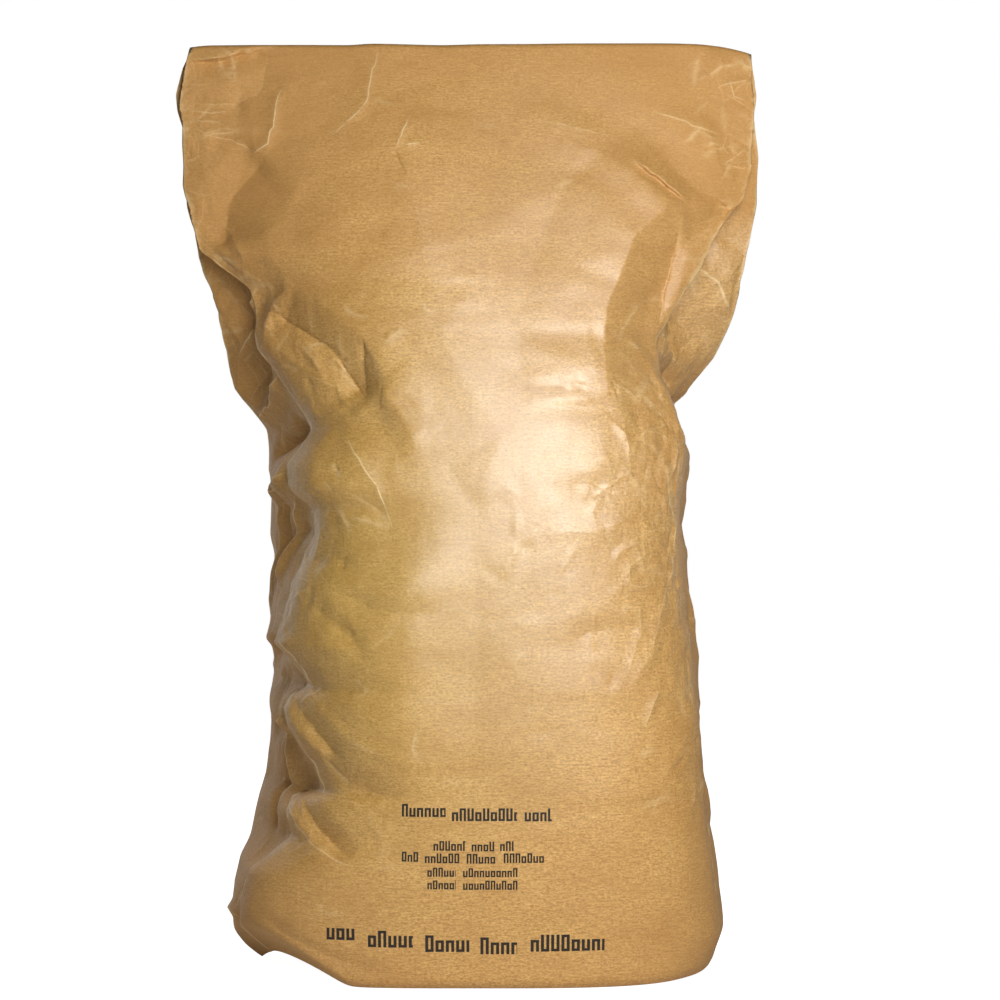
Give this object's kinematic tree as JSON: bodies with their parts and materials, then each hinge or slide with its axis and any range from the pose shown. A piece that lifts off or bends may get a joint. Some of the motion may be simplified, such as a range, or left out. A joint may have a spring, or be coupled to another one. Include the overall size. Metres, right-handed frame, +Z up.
{
  "type": "sack of flaked barley",
  "caption": "Filled gusseted kraft paper sack of flaked barley, standing upright with its top folded flat and closed.",
  "frame": {"origin": "middle of the sack's box at its base, on the floor", "axes": "+Z up along the sack, -Y towards the printed front, +X to the right as seen from the front"},
  "size_m": [0.4993, 0.304, 0.795],
  "materials": {
    "kraft_paper": "matte brown kraft paper with a faint calendered sheen"
  },
  "bodies": {
    "root": {"sack": "kraft_paper"}
  },
  "joints": []
}
